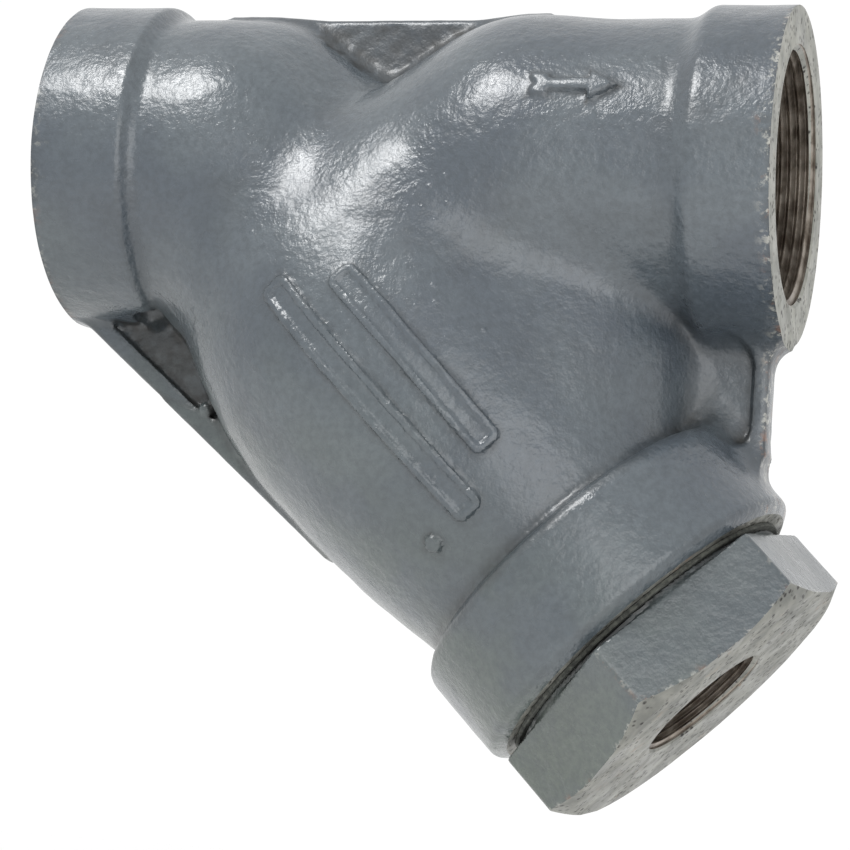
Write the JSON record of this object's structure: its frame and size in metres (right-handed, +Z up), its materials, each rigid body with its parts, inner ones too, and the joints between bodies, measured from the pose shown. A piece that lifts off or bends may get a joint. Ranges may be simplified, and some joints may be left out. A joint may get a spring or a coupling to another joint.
{
  "type": "y-pattern pipeline strainer",
  "caption": "Cast-iron Y-pattern pipeline strainer with threaded ends, a 45 degree screen leg, a hexagonal screwed retainer cap with an open blow-off port, and a perforated screen inside.",
  "frame": {"origin": "centre of the inlet's machined end face, on the pipe run's axis", "axes": "+X is the flow direction along the pipe run, +Z is up, and the screen leg leaves the run downwards towards +X at 45 degrees in the XZ plane"},
  "size_m": [0.2727, 0.1319, 0.2755],
  "materials": {
    "painted_casting": "glossy slate grey paint over as-cast iron, machined faces bare",
    "painted_cap": "glossy slate grey paint, end face machined bare",
    "gasket_sheet": "compressed fibre sheet, matt",
    "stainless_screen": "rolled stainless sheet, satin"
  },
  "bodies": {
    "body": {"strainer_body": "painted_casting"},
    "screen": {"screen_sheet": "stainless_screen", "screen_upper_ring": "stainless_screen", "screen_lower_ring": "stainless_screen"},
    "gasket": {"cap_gasket": "gasket_sheet"},
    "cap": {"retainer_cap": "painted_cap"}
  },
  "joints": [
    {"name": "screen_withdraw", "type": "slide", "parent": "body", "child": "screen", "axis": [0.7071, 0, -0.7071], "range_m": [0, 0.2]},
    {"name": "cap_travel", "type": "slide", "parent": "screen", "child": "gasket", "axis": [0.7071, 0, -0.7071], "range_m": [0, 0.02401]},
    {"name": "cap_turn", "type": "hinge", "parent": "gasket", "child": "cap", "pos_m": [0.21226, 0, -0.15726], "axis": [0.7071, 0, -0.7071], "range_deg": [0, 2700]}
  ],
  "couplings": [
    {"joint": "cap_travel", "follows": "cap_turn", "m_per_rad": 0.00050532}
  ]
}
